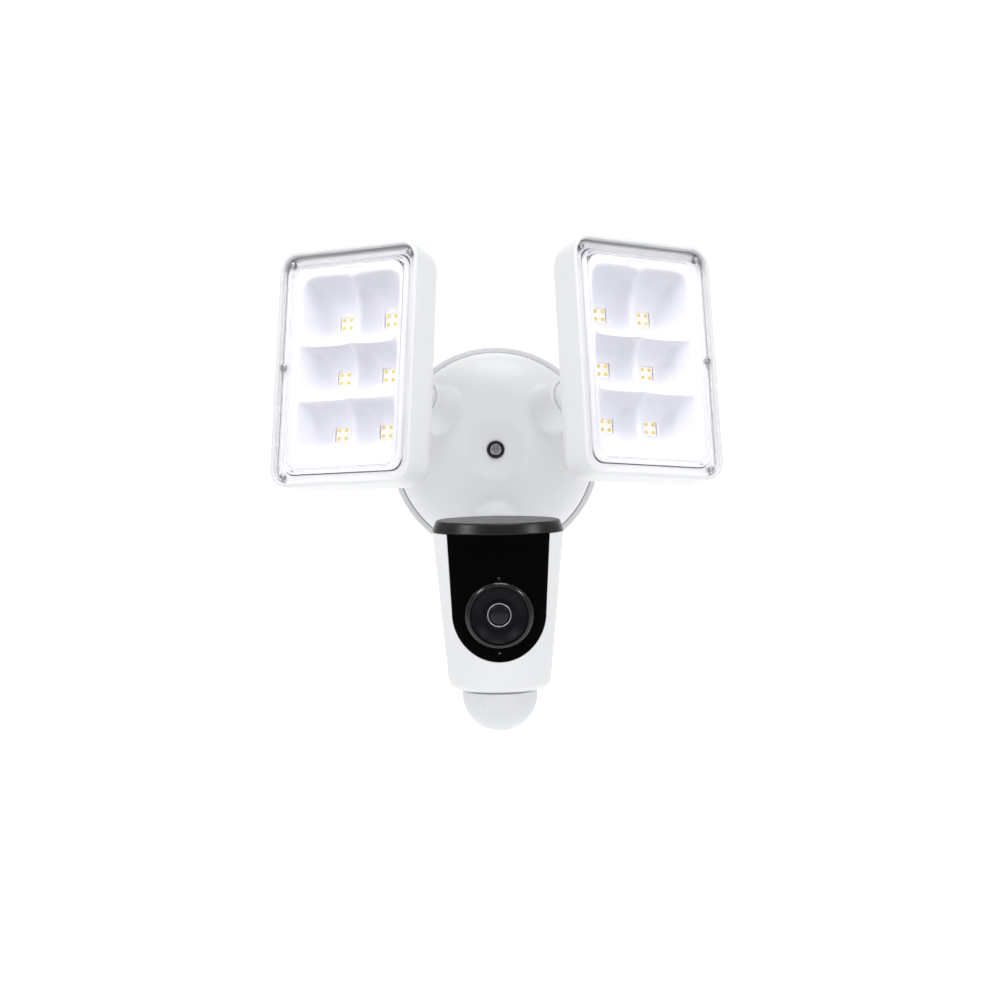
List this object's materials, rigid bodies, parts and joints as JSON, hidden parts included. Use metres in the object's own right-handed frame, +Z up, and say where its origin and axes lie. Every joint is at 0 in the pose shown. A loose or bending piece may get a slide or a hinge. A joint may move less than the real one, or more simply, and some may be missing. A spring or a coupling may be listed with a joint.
{
  "type": "floodlight security camera",
  "caption": "Wall-mounted floodlight security camera: round white base, rectangular LED floodlight heads and a camera with a motion-sensor dome, each on a lockable ball joint.",
  "frame": {"origin": "centre of the round base on the wall plane", "axes": "+Z up, +Y into the wall, so the front looks along -Y and +X is the right-hand side seen from the front"},
  "size_m": [0.2492, 0.1625, 0.2693],
  "materials": {
    "white_plastic": "fine satin, UV-stable white",
    "grey_plastic": "satin light grey",
    "reflector_white": "smooth satin, faintly lavender white",
    "clear_plastic": "clear polished",
    "gloss_black": "mirror gloss",
    "black_plastic": "fine matt",
    "rubber_black": "matt",
    "silicone_white": "matt",
    "steel": "zinc-plated",
    "board_aluminium": "white solder mask over aluminium",
    "green_board": "solder mask",
    "lens_glass": "coated, polished",
    "frosted_plastic": "frosted, translucent"
  },
  "bodies": {
    "base": {"crossbar_bracket": "steel", "box_screw_left": "steel", "box_screw_right": "steel", "ground_screw": "steel", "wall_gasket": "rubber_black", "rear_plate": "grey_plastic", "front_cover": "white_plastic", "cover_screw_left": "steel", "cover_screw_right": "steel", "centre_screw": "steel", "centre_screw_seal": "rubber_black", "wire_grommet": "rubber_black", "driver_board": "green_board", "driver_transformer": "black_plastic", "left_lamp_lead": "black_plastic", "right_lamp_lead": "black_plastic", "camera_lead": "black_plastic"},
    "left_lamp_cup_body": {"left_lamp_friction_cup": "black_plastic"},
    "left_lamp_stem_body": {"left_lamp_ball_stem": "white_plastic", "left_lamp_stem_nut": "steel"},
    "left_lamp_head": {"left_lamp_housing": "white_plastic", "left_lamp_gasket": "silicone_white", "left_lamp_reflector": "reflector_white", "left_lamp_led_board": "board_aluminium", "left_lamp_lens": "clear_plastic", "left_lamp_screw_top_outer": "steel", "left_lamp_screw_top_inner": "steel", "left_lamp_screw_side": "steel", "left_lamp_screw_bottom_outer": "steel"},
    "left_lamp_ring_body": {"left_lamp_lock_ring": "white_plastic"},
    "right_lamp_cup_body": {"right_lamp_friction_cup": "black_plastic"},
    "right_lamp_stem_body": {"right_lamp_ball_stem": "white_plastic", "right_lamp_stem_nut": "steel"},
    "right_lamp_head": {"right_lamp_housing": "white_plastic", "right_lamp_gasket": "silicone_white", "right_lamp_reflector": "reflector_white", "right_lamp_led_board": "board_aluminium", "right_lamp_lens": "clear_plastic", "right_lamp_screw_top_outer": "steel", "right_lamp_screw_top_inner": "steel", "right_lamp_screw_side": "steel", "right_lamp_screw_bottom_outer": "steel"},
    "right_lamp_ring_body": {"right_lamp_lock_ring": "white_plastic"},
    "camera_cup_body": {"camera_friction_cup": "black_plastic"},
    "camera_stem_body": {"camera_ball_stem": "white_plastic", "camera_stem_nut": "steel"},
    "camera_head": {"camera_body": "white_plastic", "camera_back": "white_plastic", "camera_visor": "gloss_black", "front_panel": "gloss_black", "lens_bezel": "gloss_black", "lens_barrel": "black_plastic", "lens_glass": "lens_glass", "main_board": "green_board", "image_sensor": "black_plastic", "pir_dome": "frosted_plastic", "pir_sensor": "steel", "speaker": "black_plastic"},
    "camera_ring_body": {"camera_lock_ring": "white_plastic"},
    "reset_key": {"reset_button": "rubber_black"}
  },
  "joints": [
    {"name": "left_lamp_swivel", "type": "hinge", "parent": "base", "child": "left_lamp_cup_body", "pos_m": [-0.0438, -0.046, 0.0296], "axis": [-0.4951, -0.824, 0.2756], "range_deg": [-45, 45]},
    {"name": "left_lamp_tilt", "type": "hinge", "parent": "left_lamp_cup_body", "child": "left_lamp_stem_body", "pos_m": [-0.0438, -0.046, 0.0296], "axis": [-0.8572, 0.515, 0], "range_deg": [-14, 28]},
    {"name": "left_lamp_spin", "type": "hinge", "parent": "left_lamp_stem_body", "child": "left_lamp_head", "pos_m": [-0.0438, -0.046, 0.0296], "axis": [-0.4529, -0.8812, 0.1357], "range_deg": [-90, 90]},
    {"name": "left_lamp_ring_turn", "type": "hinge", "parent": "base", "child": "left_lamp_ring_body", "pos_m": [-0.0438, -0.046, 0.0296], "axis": [-0.4951, -0.824, 0.2756], "range_deg": [-90, 90]},
    {"name": "right_lamp_swivel", "type": "hinge", "parent": "base", "child": "right_lamp_cup_body", "pos_m": [0.0438, -0.046, 0.0296], "axis": [-0.4951, 0.824, -0.2756], "range_deg": [-45, 45]},
    {"name": "right_lamp_tilt", "type": "hinge", "parent": "right_lamp_cup_body", "child": "right_lamp_stem_body", "pos_m": [0.0438, -0.046, 0.0296], "axis": [-0.8572, -0.515, 0], "range_deg": [-14, 28]},
    {"name": "right_lamp_spin", "type": "hinge", "parent": "right_lamp_stem_body", "child": "right_lamp_head", "pos_m": [0.0438, -0.046, 0.0296], "axis": [-0.4608, 0.8739, -0.1547], "range_deg": [-90, 90]},
    {"name": "right_lamp_ring_turn", "type": "hinge", "parent": "base", "child": "right_lamp_ring_body", "pos_m": [0.0438, -0.046, 0.0296], "axis": [0.4951, -0.824, 0.2756], "range_deg": [-90, 90]},
    {"name": "camera_swivel", "type": "hinge", "parent": "base", "child": "camera_cup_body", "pos_m": [0, -0.046, -0.0505], "axis": [0, -0.9397, -0.342], "range_deg": [-60, 60]},
    {"name": "camera_tilt", "type": "hinge", "parent": "camera_cup_body", "child": "camera_stem_body", "pos_m": [0, -0.046, -0.0505], "axis": [-1, 0, 0], "range_deg": [-25, 20]},
    {"name": "camera_spin", "type": "hinge", "parent": "camera_stem_body", "child": "camera_head", "pos_m": [0, -0.046, -0.0505], "axis": [0, -0.9409, -0.3387], "range_deg": [-30, 30]},
    {"name": "camera_ring_turn", "type": "hinge", "parent": "base", "child": "camera_ring_body", "pos_m": [0, -0.046, -0.0505], "axis": [0, -0.9397, -0.342], "range_deg": [-90, 90]},
    {"name": "reset_press", "type": "slide", "parent": "camera_head", "child": "reset_key", "axis": [0, -0.9949, -0.1011], "range_m": [0, 0.001], "stiffness_N_per_m": 500}
  ]
}
